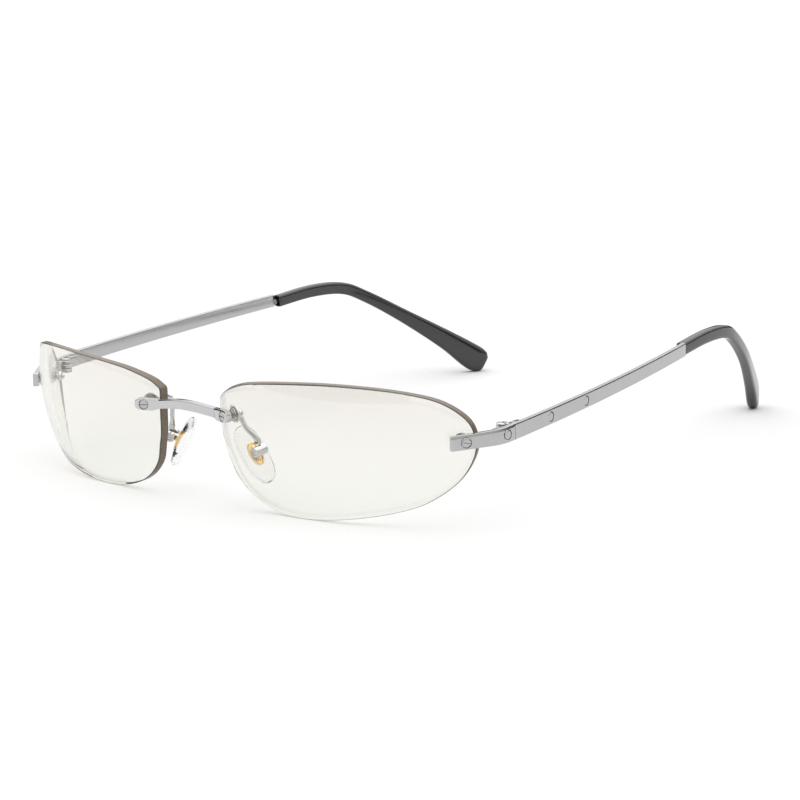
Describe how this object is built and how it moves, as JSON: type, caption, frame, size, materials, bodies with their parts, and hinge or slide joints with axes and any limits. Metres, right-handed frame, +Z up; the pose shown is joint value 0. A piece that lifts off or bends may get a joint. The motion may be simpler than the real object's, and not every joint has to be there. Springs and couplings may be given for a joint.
{
  "type": "rimless eyeglasses",
  "caption": "Rimless eyeglasses with wrapped tinted lenses screwed to a bar bridge and flat metal temples, rocking nose pads, folding hinges and plastic temple tips.",
  "frame": {"origin": "middle of the footprint, on the table that the lens bottoms and temple tips stand on", "axes": "+Z up; -Y is where the wearer looks; +X is the wearer's left"},
  "size_m": [0.1368, 0.1586, 0.0304],
  "materials": {
    "tinted_lens": "clear with a faint warm tint, polished edge",
    "polished_steel": "polished",
    "satin_steel": "satin",
    "black_acetate": "gloss black",
    "clear_silicone": "clear, soft",
    "clear_nylon": "clear, matt",
    "gilt_brass": "polished"
  },
  "bodies": {
    "front": {"bridge": "polished_steel", "left_lens": "tinted_lens", "left_bridge_screw": "polished_steel", "left_bridge_washer": "clear_nylon", "left_bridge_nut": "polished_steel", "left_pad_arm": "polished_steel", "left_pad_box": "polished_steel", "left_pad_screw": "polished_steel", "left_endpiece": "satin_steel", "left_endpiece_screw": "polished_steel", "left_endpiece_spacer": "clear_nylon", "left_endpiece_washer": "clear_nylon", "left_endpiece_nut": "polished_steel", "left_endpiece_stud": "polished_steel", "left_hinge_screw": "polished_steel", "right_lens": "tinted_lens", "right_bridge_screw": "polished_steel", "right_bridge_washer": "clear_nylon", "right_bridge_nut": "polished_steel", "right_pad_arm": "polished_steel", "right_pad_box": "polished_steel", "right_pad_screw": "polished_steel", "right_endpiece": "satin_steel", "right_endpiece_screw": "polished_steel", "right_endpiece_spacer": "clear_nylon", "right_endpiece_washer": "clear_nylon", "right_endpiece_nut": "polished_steel", "right_endpiece_stud": "polished_steel", "right_hinge_screw": "polished_steel"},
    "left_temple_arm": {"left_temple": "satin_steel", "left_temple_tip": "black_acetate", "left_temple_stud_front": "polished_steel", "left_temple_stud_rear": "polished_steel"},
    "left_pad": {"left_nose_pad": "clear_silicone", "left_pad_core": "gilt_brass"},
    "right_temple_arm": {"right_temple": "satin_steel", "right_temple_tip": "black_acetate", "right_temple_stud_front": "polished_steel", "right_temple_stud_rear": "polished_steel"},
    "right_pad": {"right_nose_pad": "clear_silicone", "right_pad_core": "gilt_brass"}
  },
  "joints": [
    {"name": "left_temple_fold", "type": "hinge", "parent": "front", "child": "left_temple_arm", "pos_m": [0.06545, -0.05168, 0.01945], "axis": [0, 0, 1], "range_deg": [0, 82]},
    {"name": "left_pad_rock", "type": "hinge", "parent": "front", "child": "left_pad", "pos_m": [0.01329, -0.06847, 0.01204], "axis": [0.2284, 0.939, 0.257], "range_deg": [-8, 8]},
    {"name": "right_temple_fold", "type": "hinge", "parent": "front", "child": "right_temple_arm", "pos_m": [-0.06545, -0.05168, 0.01945], "axis": [0, 0, -1], "range_deg": [0, 77]},
    {"name": "right_pad_rock", "type": "hinge", "parent": "front", "child": "right_pad", "pos_m": [-0.01329, -0.06847, 0.01204], "axis": [-0.2284, 0.939, 0.257], "range_deg": [-8, 8]}
  ]
}
